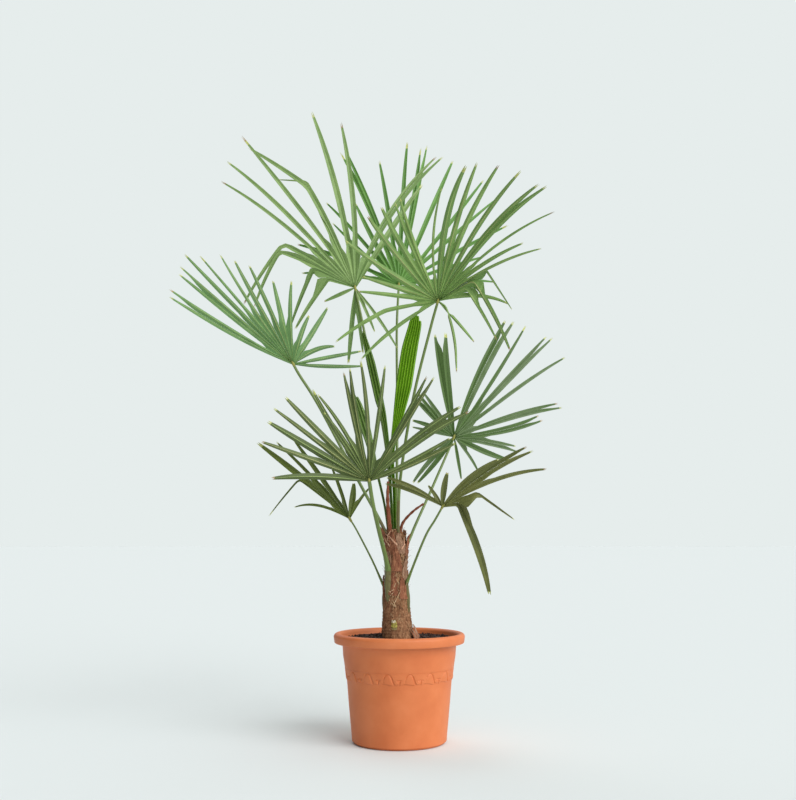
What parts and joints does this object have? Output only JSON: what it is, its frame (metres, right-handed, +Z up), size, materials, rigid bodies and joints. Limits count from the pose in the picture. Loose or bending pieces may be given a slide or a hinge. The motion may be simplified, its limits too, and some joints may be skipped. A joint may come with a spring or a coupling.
{
  "type": "potted windmill palm",
  "caption": "Potted windmill palm: fan fronds on slim stalks round a short fibrous trunk, standing in a round terracotta-coloured pot with a moulded band",
  "frame": {"origin": "centre of the pot's flat underside, which stands on the ground", "axes": "+Z up; the pictured front faces -Y and +X is to the right seen from the front"},
  "size_m": [0.982, 0.6303, 1.5667],
  "materials": {
    "clay": "terracotta-coloured moulded pot, matt, with a soft sheen on the rolled lip",
    "soil": "dark damp potting compost",
    "bark": "grey-brown trunk wrapped in coarse brown fibres",
    "stalk": "green leaf stalk, smooth with a faint sheen",
    "leaf": "leathery green fan leaflets with yellowish tips",
    "young_leaf": "bright fresh green, pleated and half opened",
    "old_base": "dry red-brown leaf base"
  },
  "bodies": {
    "root": {"pot": "clay", "soil": "soil", "trunk": "bark", "stalk_top_right": "stalk", "stalk_top_left": "stalk", "stalk_back": "stalk", "stalk_left": "stalk", "stalk_right": "stalk", "stalk_front": "stalk", "stalk_low_left": "stalk", "stalk_low_right": "stalk", "frond_top_right": "leaf", "frond_top_left": "leaf", "frond_back": "leaf", "frond_left": "leaf", "frond_right": "leaf", "frond_front": "leaf", "frond_low_left": "leaf", "frond_low_right": "leaf", "young_leaf_tall": "young_leaf", "young_leaf_left": "young_leaf", "young_leaf_pale": "young_leaf", "old_base_upright": "old_base", "old_base_slanted": "old_base"}
  },
  "joints": []
}
